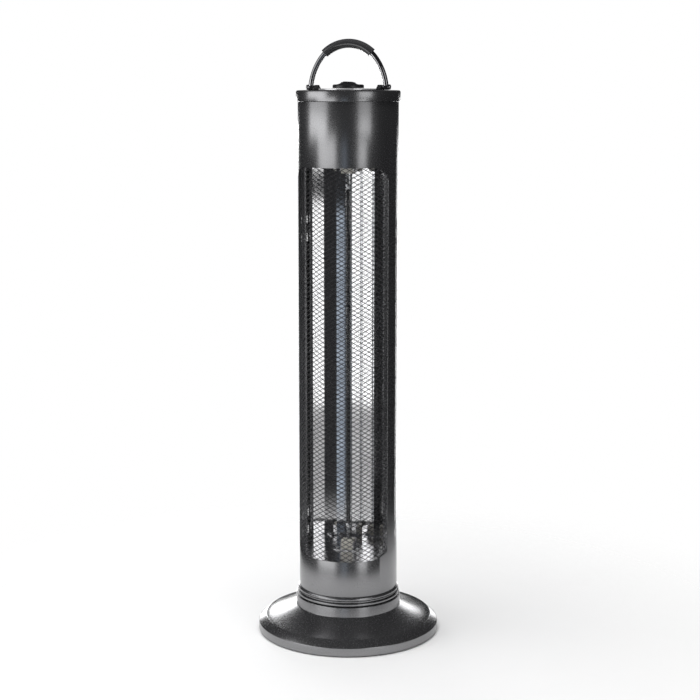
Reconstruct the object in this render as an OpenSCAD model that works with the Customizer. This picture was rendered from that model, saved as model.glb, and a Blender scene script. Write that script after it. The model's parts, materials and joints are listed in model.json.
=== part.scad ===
// Free-standing radiant heater for a terrace: a round weighted base, a tubular column with a
// mesh window and one quartz lamp, and a cap with a rotary switch and a folding bail handle.
// The floor is z = 0, the column's axis is the Z axis, and the window faces -Y.

/* [Base] */
// Diameter of the base cover
base_d = 220; // [190:1:280]
// Height of the upright rim of the base cover above the floor
base_rim_h = 11; // [8:0.5:14]
// Width of the bevel above the rim
base_bevel_w = 9; // [6:0.5:12]
// Height of the bevel above the rim
base_bevel_h = 7.5; // [5:0.5:10]
// Height above the floor at which the crown meets the collar
base_crown_h = 32; // [28:0.5:40]
// Height of the collar that carries the column
collar_h = 12; // [8:0.5:18]
// How far the collar stands out past the column tube
collar_out = 4; // [3:0.5:8]
// Sheet thickness of the base cover
base_wall = 1.5; // [1:0.1:2]
// Gap between the floor and the edge of the base cover
rim_lift = 1.2; // [0.8:0.1:2]
// Height of the rubber feet
foot_h = 3.5; // [3:0.1:5]
// Diameter of the rubber feet
foot_d = 18; // [12:1:24]
// Thickness of the steel plate that closes the base
plate_t = 1.5; // [1:0.1:2.5]
// Thickness of the ballast disc
weight_t = 9; // [6:0.5:11]

/* [Column] */
// Outside diameter of the column tube
tube_d = 119; // [98:1:145]
// Length of the column tube
tube_h = 601.5; // [500:0.5:725]
// Sheet thickness of the column tube
tube_wall = 1; // [0.8:0.1:1.5]
// Height of the visible ring between base and column
ring_h = 3; // [2:0.5:5]
// Height of each groove beside that ring
groove_h = 1.25; // [1:0.25:2]
// Height of the rounded lip around the foot of the tube
lip_h = 6.5; // [5:0.5:9]
// How far the lip stands out past the tube
lip_out = 2; // [1.5:0.1:3]
// Half of the angle that the window spans
window_angle = 69; // [55:1:75]
// Height of the solid band under the window
window_sill = 47.5; // [44:0.5:60]
// Height of the solid band over the window
window_head = 87; // [70:1:110]
// Corner radius of the window
window_r = 14; // [6:1:20]
// Thickness of the expanded metal
mesh_t = 1; // [0.8:0.1:1.2]
// Number of mesh cells around the window
mesh_columns = 6; // [4:1:8]
// Height of one mesh cell
mesh_pitch = 16.5; // [14:0.5:24]
// Width of one mesh strand
mesh_strand = 2; // [1.5:0.1:2.4]
// Height of one vent slot
vent_h = 11; // [8:1:13]
// Width of one vent slot
vent_w = 2.6; // [2:0.1:4]
// Angle between neighbouring vent slots
vent_step = 15; // [12:1:20]

/* [Lamp] */
// Outside diameter of the quartz tube
quartz_d = 9; // [8:0.5:12]
// Wall of the quartz tube
quartz_wall = 1; // [0.8:0.1:1.4]
// Width of the carbon ribbon
ribbon_w = 5; // [4:0.5:6]
// Thickness of the carbon ribbon
ribbon_t = 0.5; // [0.4:0.1:0.8]
// Width of the ceramic end caps
end_cap_w = 15; // [14:0.5:18]
// Height of the ceramic end caps
end_cap_h = 13; // [11:0.5:16]
// Sheet thickness of the reflector
reflector_t = 0.6; // [0.5:0.1:1]
// Distance from the lamp back to the middle facet
reflector_back = 34; // [28:1:37]
// Focal length of the reflector's curve
reflector_focus = 35; // [30:1:45]
// Distances of the inner folds from the middle
reflector_folds = [8, 24, 38]; // [6:1:40]

/* [Top] */
// Height of the cap
cap_h = 13; // [11:0.5:18]
// Wall of the cap
cap_wall = 2; // [1.5:0.1:2.5]
// Radius of the cap's top edge
cap_fillet = 3; // [1:0.5:4]
// Diameter of the dial plate
dial_d = 70; // [60:1:72]
// Thickness of the dial plate
dial_t = 2; // [1.5:0.1:3]
// Diameter of the knob's skirt
knob_d = 37; // [32:1:44]
// Height of the knob's skirt
knob_skirt_h = 4.2; // [4:0.1:6]
// Height of the grip bar above the skirt
knob_bar_h = 3.4; // [2:0.1:6]
// Width of the grip bar at its top
knob_bar_w = 9; // [7:0.5:12]
// Diameter of the switch shaft
shaft_d = 6; // [5:0.5:7]

/* [Handle] */
// Distance between the centres of the bail's legs
bail_w = 93; // [88:0.5:94]
// Height of the bail's centre line above the cap
bail_h = 54.5; // [48:0.5:66]
// Radius of the bail's crown
bail_crown_r = 41.5; // [36:0.5:43]
// Diameter of the bail's wire
bail_wire_d = 6; // [5.5:0.1:7.2]
// Diameter of the grip sleeve
grip_d = 10.5; // [9:0.5:12.5]
// Half of the angle that the grip sleeve spans
grip_angle = 44; // [35:1:52]
// Diameter of the pivot screws' shoulders
pivot_d = 3; // [2.5:0.1:3.5]

/* [Tip switch] */
// Diameter of the plunger under the base
plunger_d = 6; // [5:0.5:7]
// How far the plunger comes out when the heater is lifted
plunger_travel = 4; // [3:0.5:5]

/* [Hidden] */

$fn = 96;
// Clearances: running fits, pieces of one assembly, and separate moving bodies
run = 0.05;
fit = 0.1;
apart = 0.4;
// Overrun of a cut past the faces it goes through
over = 1;

// Levels from the floor up
plate_top = foot_h + plate_t;
weight_top = plate_top + weight_t;
bevel_top = base_rim_h + base_bevel_h;
collar_top = base_crown_h + collar_h;
spacer_h = ring_h + 2 * groove_h;
foot_z = collar_top + spacer_h;
foot_floor_t = 2;
tube_z = foot_z + foot_floor_t;
window_z = tube_z + window_sill;
window_top = tube_z + tube_h - window_head;
tube_top = tube_z + tube_h;
cap_top = tube_top + cap_wall;
dial_top = cap_top + dial_t;
knob_z = dial_top + 0.6;
knob_skirt_top = knob_z + knob_skirt_h;
knob_top = knob_skirt_top + knob_bar_h;

// Radii
base_r = base_d / 2;
tube_r = tube_d / 2;
tube_ir = tube_r - tube_wall;
mesh_ir = tube_ir - mesh_t;
collar_r = tube_r + collar_out;
lip_r = tube_r + lip_out;
cap_r = tube_r + fit + cap_wall;
crown_r = base_r - base_bevel_w;
core_r = tube_r - 1.5;
cable_hole_r = 12;
weight_r = crown_r - base_wall - 4;
foot_circle_r = base_r - 7 - foot_d / 2;
hub_r = tube_r - 3.5;
hub_ir = hub_r - 16;
bolt_circle_r = hub_r - 8;

// Fasteners
bolt_r = 2.5;
bolt_hole_r = 2.7;
bolt_head_r = 4.5;
bolt_head_h = 2.2;
bolt_nut_h = 4;
bolt_nut_r = 4.6;
screw_r = 1.5;
screw_head_r = 2.8;
screw_head_h = 1.6;
wire_r = 1.2;

// Tip switch, behind the column
tip_y = (weight_r + hub_r) / 2;
tip_w = 24;
tip_d = 17;
tip_h = 14;
plunger_r = plunger_d / 2;
plunger_collar_r = plunger_r + 1.5;
plunger_collar_t = 1.5;
tip_bore_r = plunger_collar_r + 0.4;
collar_z = plate_top + plunger_travel + apart;
spring_z = collar_z + plunger_collar_t;
spring_top = plate_top + tip_h - 2.5;
spring_wire_r = 0.35;
spring_r = plunger_collar_r - 0.8;
spring_turns = 4;
tip_ear_w = 7;

// Chambers of the column
deck_t = 1.2;
deck_drop = 1.8;
deck_skirt_h = 14;
lower_deck_top = window_z - deck_drop;
upper_deck_z = window_top + 6;
foot_wall_h = 10;
foot_wall_t = 2;
mesh_lap = 7;
channel_y = (reflector_back + tube_ir) / 2;
grommet_r = 5.5;
grommet_ir = 3.4;
bush_r = 4;
gland_z = (tube_z + foot_wall_h + lower_deck_top - deck_t - deck_skirt_h) / 2;
gland_r = 6;
gland_bore_r = 3.6;
gland_nose_l = 10.5;
back_screw_angle = 35;

// Lamp
lamp_lift = 1.2;
cap_socket_h = 6;
lower_cap_z = lower_deck_top + lamp_lift;
upper_cap_z = upper_deck_z - lamp_lift - end_cap_h;
quartz_z = lower_cap_z + end_cap_h - cap_socket_h;
quartz_top = upper_cap_z + cap_socket_h;
ribbon_gap = 16;
lead_r = 0.8;
lead_out = 4;
end_cap_d = 11;

// Switch
switch_w = 26;
switch_h = 16;
bushing_r = shaft_d / 2 + 1.8;
bushing_h = cap_wall + dial_t + 2.8;
switch_nut_r = bushing_r + 2.6;
switch_nut_h = 2.4;
shaft_z = tube_top - 8;
knob_pocket_r = switch_nut_r + 1;
knob_pocket_h = knob_skirt_h - 1;

// Handle
bail_wire_r = bail_wire_d / 2;
grip_r = grip_d / 2;
eye_r = bail_wire_r + 0.3;
pivot_r = pivot_d / 2;
pivot_z = cap_top + apart + eye_r;
bail_half = bail_w / 2;
bail_centre_z = cap_top - 2;
bail_rise = cap_top + bail_h - bail_centre_z;
crown_drop = bail_rise - bail_crown_r;
bail_side_r = (pow(bail_half, 2) + pow(crown_drop, 2) - pow(bail_crown_r, 2))
    / (2 * (bail_half - bail_crown_r));
blend_angle = atan2(crown_drop, bail_side_r - bail_half);
leg_angle = asin((pivot_z - bail_centre_z) / bail_side_r);
leg_x = bail_half - bail_side_r * (1 - cos(leg_angle));
crimp_l = 1.6;
lug_t = 5.5;
lug_l = 16;
// The folded bail's legs lean in over the lugs, so the lugs stand clear of that
lean_angle = asin((pivot_z + lug_l / 2 - bail_centre_z) / bail_side_r);
leg_lean = bail_side_r * (cos(leg_angle) - cos(lean_angle));
lug_x = leg_x - bail_wire_r - leg_lean - apart - lug_t / 2;
dial_r = min(dial_d / 2, lug_x - lug_t / 2 - apart);
lug_top = pivot_z + pivot_r + 1.2;
pivot_head_r = 3;
pivot_head_h = 1.8;

// Round profile of radius r between two angles
function arc(centre, r, a0, a1, n = 8) =
    [for (i = [0:n]) centre + r * [cos(a0 + (a1 - a0) * i / n), sin(a0 + (a1 - a0) * i / n)]];

// The crown rises from the bevel to the collar, ever steeper
crown_steps = 12;
crown_power = 1.5;
function crown_z(r) =
    bevel_top + (base_crown_h - bevel_top) * pow((crown_r - r) / (crown_r - collar_r), crown_power);
function crown(drop, r0, r1) =
    [for (i = [0:crown_steps]) let (r = r0 + (r1 - r0) * i / crown_steps)
        [r, crown_z(min(max(r, collar_r), crown_r)) - drop]];

// Smooth curve through the points p, that leaves each one towards its next neighbour but one
function heading(p, i) = unit(p[min(i + 1, len(p) - 1)] - p[max(i - 1, 0)]);
function hermite(a, b, u, v, t) =
    (2 * t * t * t - 3 * t * t + 1) * a + (3 * t * t - 2 * t * t * t) * b
        + norm(b - a) * ((t * t * t - 2 * t * t + t) * u + (t * t * t - t * t) * v);
function curve(p, steps = 6) = [
    for (i = [0:len(p) - 2], j = [0:steps - 1])
        hermite(p[i], p[i + 1], heading(p, i), heading(p, i + 1), j / steps),
    p[len(p) - 1]
];
function unit(v) = v / norm(v);

// Round tube along the path p, its rings squared to the direction side
module tube_along(p, r, side = [1, 0, 0], n = 8) {
    last = len(p) - 1;
    rings = [for (i = [0:last])
        let (t = unit(p[min(i + 1, last)] - p[max(i - 1, 0)]), u = unit(cross(t, side)), v = cross(t, u))
        for (k = [0:n - 1]) p[i] + r * (cos(360 * k / n) * u + sin(360 * k / n) * v)];
    walls = [for (i = [0:last - 1], k = [0:n - 1])
        [i * n + k, i * n + (k + 1) % n, (i + 1) * n + (k + 1) % n, (i + 1) * n + k]];
    start = [for (k = [0:n - 1]) n - 1 - k];
    end = [for (k = [0:n - 1]) last * n + k];
    polyhedron(rings, concat([start], walls, [end]));
}

// Copies at equal angles about the axis
module around(count, r, first = 0) {
    for (i = [0:count - 1]) rotate(first + 360 * i / count) translate([r, 0, 0]) children();
}

// Ring with a rectangular section
module ring(outer, inner, h) {
    difference() {
        cylinder(r = outer, h = h);
        translate([0, 0, -over]) cylinder(r = inner, h = h + 2 * over);
    }
}

// Pan-head screw that points up from z = 0, its head below
module screw(r, l, head_r, head_h) {
    cylinder(r = r, h = l, $fn = 32);
    translate([0, 0, -head_h]) difference() {
        cylinder(r = head_r, h = head_h, $fn = 32);
        for (a = [0, 90]) rotate(a) translate([-head_r * 0.6, -0.4, -over])
            cube([head_r * 1.2, 0.8, over + head_h * 0.5]);
    }
}

// Point on the column's outside at the back, turned a degrees from +Y
module at_back(a, z) {
    translate([0, 0, z]) rotate(a) translate([0, tube_r, 0]) rotate([90, 0, 0]) children();
}

module base_cover() {
    color([0.16, 0.16, 0.165]) difference() {
        rotate_extrude($fn = 180) polygon(concat(
            [[base_r - base_wall, rim_lift], [base_r - 0.6, rim_lift], [base_r, rim_lift + 0.6],
                [base_r, base_rim_h]],
            crown(0, crown_r, collar_r),
            [[collar_r, collar_top - 0.6], [collar_r - 0.6, collar_top],
                [cable_hole_r, collar_top], [cable_hole_r, collar_top - base_wall],
                [collar_r - base_wall, collar_top - base_wall]],
            crown(base_wall, collar_r - base_wall, crown_r - base_wall / 2),
            [[base_r - base_wall, base_rim_h - base_wall / 2]]
        ));
        around(4, bolt_circle_r, 45) translate([0, 0, collar_top - base_wall - over])
            cylinder(r = bolt_hole_r, h = base_wall + 2 * over);
    }
}

module base_plate() {
    color([0.3, 0.3, 0.31]) translate([0, 0, foot_h]) difference() {
        cylinder(r = base_r - base_wall - fit, h = plate_t);
        around(4, bolt_circle_r, 45) translate([0, 0, -over])
            cylinder(r = bolt_hole_r, h = plate_t + 2 * over);
        translate([0, tip_y, -over]) cylinder(r = plunger_r + run, h = plate_t + 2 * over);
    }
}

module base_weight() {
    color([0.25, 0.25, 0.26]) difference() {
        union() {
            translate([0, 0, plate_top]) ring(weight_r, cable_hole_r + 8, weight_t);
            translate([0, 0, plate_top]) ring(hub_r, hub_ir, collar_top - base_wall - plate_top);
        }
        around(4, bolt_circle_r, 45) translate([0, 0, plate_top - over])
            cylinder(r = bolt_hole_r, h = collar_top);
        translate([-tip_w / 2 - tip_ear_w - 1, tip_y - tip_d / 2 - 1, plate_top - over])
            cube([tip_w + 2 * tip_ear_w + 2, tip_d + 2, weight_t + 2 * over]);
        translate([-5, hub_ir - over, weight_top])
            cube([10, hub_r - hub_ir + 2 * over, 10]);
    }
}

module rubber_feet() {
    color([0.06, 0.06, 0.06]) around(4, foot_circle_r, 45) rotate_extrude($fn = 48)
        polygon([[0, 0], [foot_d / 2 - 1.5, 0], [foot_d / 2, 1], [foot_d / 2, foot_h], [0, foot_h]]);
}

module tie_bolts() {
    color("silver") around(4, bolt_circle_r, 45) translate([0, 0, foot_h])
        screw(bolt_r, tube_z - foot_h + bolt_nut_h + 1, bolt_head_r, bolt_head_h);
}

module tie_nuts() {
    color("silver") around(4, bolt_circle_r, 45) translate([0, 0, tube_z]) difference() {
        cylinder(r = bolt_nut_r, h = bolt_nut_h, $fn = 6);
        translate([0, 0, -over]) cylinder(r = bolt_r, h = bolt_nut_h + 2 * over, $fn = 32);
    }
}

module tip_switch_body() {
    color([0.75, 0.74, 0.7]) translate([0, tip_y, plate_top]) difference() {
        union() {
            translate([-tip_w / 2, -tip_d / 2, 0]) cube([tip_w, tip_d, tip_h]);
            translate([-tip_w / 2 - tip_ear_w, -tip_d / 2 + 3, 0])
                cube([tip_w + 2 * tip_ear_w, tip_d - 6, 2.5]);
        }
        translate([0, 0, -over]) cylinder(r = tip_bore_r, h = spring_top - plate_top + over);
        for (s = [-1, 1]) translate([s * (tip_w + tip_ear_w) / 2, 0, -over])
            cylinder(r = screw_r, h = 2.5 + 2 * over);
    }
}

module tip_switch_plunger() {
    color([0.8, 0.1, 0.1]) translate([0, tip_y, 0]) {
        cylinder(r = plunger_r, h = collar_z);
        translate([0, 0, collar_z]) cylinder(r = plunger_collar_r, h = plunger_collar_t);
        translate([0, 0, spring_z]) cylinder(r = 1.3, h = 2);
    }
}

module tip_switch_spring() {
    rise = spring_top - spring_z - 2 * spring_wire_r;
    coil = [for (i = [0:12 * spring_turns]) let (t = i / (12 * spring_turns))
        [spring_r * cos(30 * i), tip_y + spring_r * sin(30 * i), spring_z + spring_wire_r + rise * t]];
    color("silver") tube_along(coil, spring_wire_r, [0, 0, 1], 6);
}

module tip_switch_screws() {
    color("silver") for (s = [-1, 1])
        translate([s * (tip_w + tip_ear_w) / 2, tip_y, plate_top + 2.5]) rotate([180, 0, 0])
            screw(screw_r, 2.5, screw_head_r, screw_head_h);
}

module tip_switch_wire() {
    start = [0, tip_y - tip_d / 2 - wire_r, plate_top + tip_h - 2];
    route = [start, [0, hub_r, weight_top + 5], [0, hub_ir, weight_top + 5], [0, 14, weight_top + 12],
        [1, 2, collar_top - 6], [4, -2, collar_top + 8], [5, -8, tube_z + 9], [5, block_back, tube_z + 9]];
    color([0.1, 0.1, 0.1]) tube_along(curve(route), wire_r);
}

module spacer_ring() {
    color([0.14, 0.14, 0.145]) difference() {
        translate([0, 0, collar_top]) rotate_extrude($fn = 180) polygon([
            [cable_hole_r, 0], [core_r, 0], [core_r, groove_h],
            [lip_r + 0.4, groove_h], [lip_r + 0.9, groove_h + 0.5],
            [lip_r + 0.9, groove_h + ring_h - 0.5], [lip_r + 0.4, groove_h + ring_h],
            [core_r, groove_h + ring_h], [core_r, spacer_h], [cable_hole_r, spacer_h]
        ]);
        around(4, bolt_circle_r, 45) translate([0, 0, collar_top - over])
            cylinder(r = bolt_hole_r, h = spacer_h + 2 * over);
    }
}

module column_foot() {
    bead = lip_h / 2;
    color([0.16, 0.16, 0.165]) difference() {
        translate([0, 0, foot_z]) rotate_extrude($fn = 180) polygon(concat(
            [[cable_hole_r, 0], [lip_r - 1.2, 0]],
            arc([lip_r - bead, bead], bead, -50, 50),
            [[tube_r + fit, lip_h], [tube_r + fit, foot_floor_t], [tube_ir - fit, foot_floor_t],
                [tube_ir - fit, foot_floor_t + foot_wall_h],
                [tube_ir - fit - foot_wall_t, foot_floor_t + foot_wall_h],
                [tube_ir - fit - foot_wall_t, foot_floor_t], [cable_hole_r, foot_floor_t]]
        ));
        around(4, bolt_circle_r, 45) translate([0, 0, foot_z - over])
            cylinder(r = bolt_hole_r, h = foot_floor_t + 2 * over);
        for (s = [-1, 1]) at_back(s * back_screw_angle, tube_z + foot_wall_h / 2 + 2)
            cylinder(r = screw_r, h = 6, $fn = 32);
    }
}

// Upright slots at the given levels, cut outwards along +X through the tube's wall
module vent_column(levels) {
    for (z = levels) translate([tube_ir - over, -vent_w / 2, z - vent_h / 2])
        cube([tube_wall + 2 * over, vent_w, vent_h]);
}

module housing_tube() {
    half = tube_r * sin(window_angle);
    span = window_top - window_z;
    vent_count = floor(180 / vent_step);
    vent_gap = 2 * vent_h;
    color([0.17, 0.17, 0.175]) difference() {
        translate([0, 0, tube_z]) ring(tube_r, tube_ir, tube_h, $fn = 180);
        translate([0, -over, window_z]) rotate([90, 0, 0]) linear_extrude(tube_r) {
            translate([-half + window_r, 0]) square([2 * (half - window_r), span]);
            translate([-half, window_r]) square([2 * half, span - 2 * window_r]);
            for (x = [-1, 1], z = [window_r, span - window_r])
                translate([x * (half - window_r), z]) circle(r = window_r);
        }
        for (i = [0:vent_count]) rotate(i * 180 / vent_count)
            vent_column([window_z + 15, window_z + 15 + vent_gap,
                window_top - 87, window_top - 87 + vent_gap]);
        for (s = [-1, 1]) {
            for (z = [tube_z + foot_wall_h / 2 + 2, lower_deck_top - deck_t - deck_skirt_h / 2,
                    upper_deck_z + deck_t + deck_skirt_h / 2, cap_top - cap_h / 2])
                at_back(s * back_screw_angle, z) translate([0, 0, -over])
                    cylinder(r = screw_r, h = tube_wall + 2 * over + 1, $fn = 32);
        }
        at_back(0, gland_z) translate([0, 0, -over]) cylinder(r = gland_r, h = tube_wall + 2 * over);
    }
}

module column_screws() {
    color("silver") for (s = [-1, 1], z = [tube_z + foot_wall_h / 2 + 2,
            lower_deck_top - deck_t - deck_skirt_h / 2, upper_deck_z + deck_t + deck_skirt_h / 2])
        at_back(s * back_screw_angle, z) screw(screw_r, 5, screw_head_r, screw_head_h);
}

// The grille is a curved sheet with staggered diamond holes. Each upright row of diamonds is cut
// straight outwards, so every strand stands square to the column.
module mesh_grille() {
    mesh_span = 2 * (window_angle + 6);
    cell_angle = mesh_span / (mesh_columns + 0.5);
    cell_w = mesh_ir * cell_angle * PI / 180;
    bottom = window_z - mesh_lap;
    top = window_top + mesh_lap;
    rows = floor((top - bottom - mesh_strand) / mesh_pitch);
    slack = (top - bottom - rows * mesh_pitch) / 2;
    hole_w = cell_w / 2 - mesh_strand;
    hole_h = mesh_pitch / 2 - mesh_strand / 2;
    module diamonds(count, z0) {
        translate([mesh_ir - over, 0, 0]) rotate([90, 0, 90]) linear_extrude(mesh_t + 2 * over)
            for (i = [0:count - 1]) translate([0, z0 + i * mesh_pitch])
                polygon([[-hole_w, 0], [0, -hole_h], [hole_w, 0], [0, hole_h]]);
    }
    color([0.2, 0.2, 0.2]) difference() {
        translate([0, 0, bottom]) rotate(-90 - mesh_span / 2) rotate_extrude(angle = mesh_span)
            translate([mesh_ir, 0]) square([mesh_t, top - bottom]);
        for (i = [0:2 * mesh_columns - 2])
            rotate(-90 - mesh_span / 2 + (i / 2 + 0.75) * cell_angle)
                diamonds(i % 2 == 0 ? rows : rows - 1,
                    bottom + slack + (i % 2 == 0 ? mesh_pitch / 2 : mesh_pitch));
    }
}

// Sheet-metal disc with a skirt that stands below it, and its holes for lamp and wires
module deck() {
    difference() {
        union() {
            cylinder(r = mesh_ir, h = deck_t);
            translate([0, 0, -deck_skirt_h]) ring(mesh_ir, mesh_ir - deck_t, deck_skirt_h);
        }
        translate([0, 0, -over]) cylinder(r = bush_r, h = deck_t + 2 * over);
        translate([0, channel_y, -over]) cylinder(r = grommet_r - 1, h = deck_t + 2 * over);
        for (s = [-1, 1]) {
            translate([s * (end_cap_w / 2 + 6), 0, -over]) cylinder(r = screw_r, h = deck_t + 2 * over);
            rotate(s * back_screw_angle) translate([0, mesh_ir - deck_t - over, -deck_skirt_h / 2])
                rotate([-90, 0, 0]) cylinder(r = screw_r, h = deck_t + 2 * over);
        }
    }
}

module lower_deck() {
    color([0.75, 0.75, 0.75]) translate([0, 0, lower_deck_top - deck_t]) deck();
}

module upper_deck() {
    color([0.75, 0.75, 0.75]) translate([0, 0, upper_deck_z + deck_t]) mirror([0, 0, 1]) deck();
}

module deck_grommets() {
    color([0.08, 0.08, 0.08]) for (z = [lower_deck_top - deck_t, upper_deck_z])
        translate([0, channel_y, z]) difference() {
            union() {
                cylinder(r = grommet_r - 1, h = deck_t);
                translate([0, 0, deck_t]) cylinder(r = grommet_r, h = 1);
                translate([0, 0, -1]) cylinder(r = grommet_r, h = 1);
            }
            translate([0, 0, -over - 1]) cylinder(r = grommet_ir, h = deck_t + 2 + 2 * over);
        }
}

// Reflector: flat facets between folds that lie on a parabola, with a flange along each edge
function fold_y(x) = reflector_back - pow(x, 2) / (4 * reflector_focus);
module reflector() {
    mouth = tube_ir - 8.5;
    folds = concat(reflector_folds, [mouth]);
    flange = sqrt(pow(mesh_ir, 2) - pow(fold_y(mouth), 2)) - 0.8;
    last = len(folds) - 1;
    front = [for (x = folds) [x, fold_y(x)]];
    back = [for (i = [last:-1:0]) [folds[i] + reflector_t / 2, fold_y(folds[i]) + reflector_t]];
    side = concat(front, [[flange, fold_y(mouth)], [flange, fold_y(mouth) + reflector_t]], back);
    other = [for (i = [len(side) - 1:-1:0]) [-side[i][0], side[i][1]]];
    color([0.85, 0.85, 0.86]) translate([0, 0, lower_deck_top])
        linear_extrude(upper_deck_z - lower_deck_top) polygon(concat(side, other));
}

module quartz_tube() {
    color([0.9, 0.9, 0.9, 0.4]) translate([0, 0, quartz_z])
        ring(quartz_d / 2, quartz_d / 2 - quartz_wall, quartz_top - quartz_z);
}

module carbon_element() {
    ribbon_z = quartz_z + ribbon_gap;
    ribbon_top = quartz_top - ribbon_gap;
    lead_z = lower_deck_top - deck_t - lead_out;
    lead_top = upper_deck_z + deck_t + lead_out;
    color([0.1, 0.1, 0.1]) {
        translate([-ribbon_w / 2, -ribbon_t / 2, ribbon_z])
            cube([ribbon_w, ribbon_t, ribbon_top - ribbon_z]);
        translate([0, 0, lead_z]) cylinder(r = lead_r, h = ribbon_z + 3 - lead_z, $fn = 32);
        translate([0, 0, ribbon_top - 3])
            cylinder(r = lead_r, h = lead_top - ribbon_top + 3, $fn = 32);
    }
}

// Ceramic end cap with the tube's socket in its top
module end_cap() {
    difference() {
        translate([-end_cap_w / 2, -end_cap_d / 2, 0]) cube([end_cap_w, end_cap_d, end_cap_h]);
        translate([0, 0, end_cap_h - cap_socket_h])
            cylinder(r = quartz_d / 2 + fit, h = cap_socket_h + over);
        translate([0, 0, -over]) cylinder(r = lead_r + fit, h = end_cap_h, $fn = 32);
    }
}

module lower_end_cap() {
    color([0.92, 0.9, 0.86]) translate([0, 0, lower_cap_z]) end_cap();
}

module upper_end_cap() {
    color([0.92, 0.9, 0.86]) translate([0, 0, upper_cap_z + end_cap_h]) mirror([0, 0, 1]) end_cap();
}

// Sheet bracket: a foot on the deck and two cheeks that grip the end cap
module lamp_bracket() {
    foot_l = end_cap_w + 20;
    cheek_h = end_cap_h * 0.8;
    difference() {
        union() {
            translate([-foot_l / 2, -end_cap_d / 2, 0]) cube([foot_l, end_cap_d, lamp_lift]);
            for (s = [-1, 1]) translate([s * (end_cap_w / 2 + 0.5) - 0.5, -end_cap_d / 2, 0])
                cube([1, end_cap_d, lamp_lift + cheek_h]);
        }
        translate([0, 0, -over]) cylinder(r = bush_r, h = lamp_lift + 2 * over);
        for (s = [-1, 1]) translate([s * (end_cap_w / 2 + 6), 0, -over])
            cylinder(r = screw_r, h = lamp_lift + 2 * over);
    }
}

module lower_lamp_bracket() {
    color([0.8, 0.8, 0.8]) translate([0, 0, lower_deck_top]) lamp_bracket();
}

module upper_lamp_bracket() {
    color([0.8, 0.8, 0.8]) translate([0, 0, upper_deck_z]) mirror([0, 0, 1]) lamp_bracket();
}

module bracket_screws() {
    reach = lamp_lift + deck_t + 1.5;
    color("silver") for (s = [-1, 1]) translate([s * (end_cap_w / 2 + 6), 0, 0]) {
        translate([0, 0, lower_deck_top + lamp_lift]) rotate([180, 0, 0])
            screw(screw_r, reach, screw_head_r, screw_head_h);
        translate([0, 0, upper_deck_z - lamp_lift])
            screw(screw_r, reach, screw_head_r, screw_head_h);
    }
}

module lead_bushes() {
    color([0.92, 0.9, 0.86]) {
        translate([0, 0, lower_deck_top - deck_t]) ring(bush_r, lead_r + fit, deck_t + lamp_lift);
        translate([0, 0, upper_deck_z - lamp_lift]) ring(bush_r, lead_r + fit, deck_t + lamp_lift);
    }
}

// The thermal cut-out lies on the upper deck, to the left of the lamp
cutout_x = -22;
cutout_y = 12;
cutout_r = 8;
cutout_h = 6;
module thermal_cutout() {
    color([0.2, 0.18, 0.16]) translate([cutout_x, cutout_y, upper_deck_z + deck_t]) difference() {
        union() {
            cylinder(r = cutout_r, h = cutout_h);
            translate([-cutout_r - 5, -4, 0]) cube([2 * cutout_r + 10, 8, 1]);
            for (s = [-1, 1]) translate([s * 4 - 0.4, -3, cutout_h]) cube([0.8, 6, 7]);
        }
        for (s = [-1, 1]) translate([s * (cutout_r + 2.5), 0, -over])
            cylinder(r = screw_r, h = 1 + 2 * over);
    }
}

module cutout_screws() {
    color("silver") for (s = [-1, 1])
        translate([cutout_x + s * (cutout_r + 2.5), cutout_y, upper_deck_z + deck_t + 1])
            rotate([180, 0, 0]) screw(screw_r, 1, 2.2, screw_head_h);
}

// Terminal block on the floor of the column foot, in front of the cable hole
block_w = 30;
block_d = 15;
block_h = 13;
block_y = -15 - block_d / 2;
block_pitch = 9;
module terminal_block() {
    color([0.85, 0.83, 0.75]) translate([0, block_y, tube_z]) difference() {
        translate([-block_w / 2, -block_d / 2, 0]) cube([block_w, block_d, block_h]);
        for (i = [-1:1], s = [-1, 1]) translate([i * block_pitch, s * 4, block_h - 4])
            cylinder(r = 2, h = 4 + over, $fn = 32);
    }
}

module terminal_screws() {
    color([0.8, 0.65, 0.3]) translate([0, block_y, tube_z + block_h - 4])
        for (i = [-1:1], s = [-1, 1]) translate([i * block_pitch, s * 4, 0])
            cylinder(r = 2, h = 2.5, $fn = 32);
}

// Wires up the channel behind the reflector, each to its own terminal
wire_x = 1.7;
block_back = block_y + block_d / 2 + fit;
block_wire_z = tube_z + 6;
function channel_route(x, x0) = [
    [x0, block_back, block_wire_z], [x0, block_back + 6, block_wire_z + 1],
    [x, channel_y - 16, lower_deck_top - deck_t - 12], [x, channel_y, lower_deck_top - 6],
    [x, channel_y, lower_deck_top + 25], [x, channel_y, (lower_deck_top + upper_deck_z) / 2],
    [x, channel_y, upper_deck_z - 25], [x, channel_y, upper_deck_z + 8]
];

module live_wire() {
    end = [cutout_x + 4, cutout_y, upper_deck_z + deck_t + cutout_h + 7 + wire_r];
    route = concat(channel_route(-wire_x, -block_pitch),
        [[-6, channel_y - 6, upper_deck_z + 28], [-15, 26, upper_deck_z + 30],
            end + [0, 4, 6], end]);
    color([0.45, 0.25, 0.12]) tube_along(curve(route), wire_r);
}

module neutral_wire() {
    end = [wire_x, 2.6, upper_deck_z + deck_t + lead_out + wire_r];
    route = concat(channel_route(wire_x, block_pitch),
        [[wire_x + 1, channel_y - 8, upper_deck_z + 22], [wire_x + 1, 14, upper_deck_z + 20],
            [wire_x, 4, upper_deck_z + 14], end]);
    color([0.15, 0.3, 0.6]) tube_along(curve(route), wire_r);
}

module switch_wire() {
    start = [cutout_x - 4, cutout_y, upper_deck_z + deck_t + cutout_h + 7 + wire_r];
    end = [-8, 0, tube_top - switch_h - 7 - wire_r];
    route = [start, start + [-2, -2, 8], start + [-1, -6, 20], end + [-6, 4, -16], end + [-1, 1, -6], end];
    color([0.45, 0.25, 0.12]) tube_along(curve(route), wire_r);
}

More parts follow.
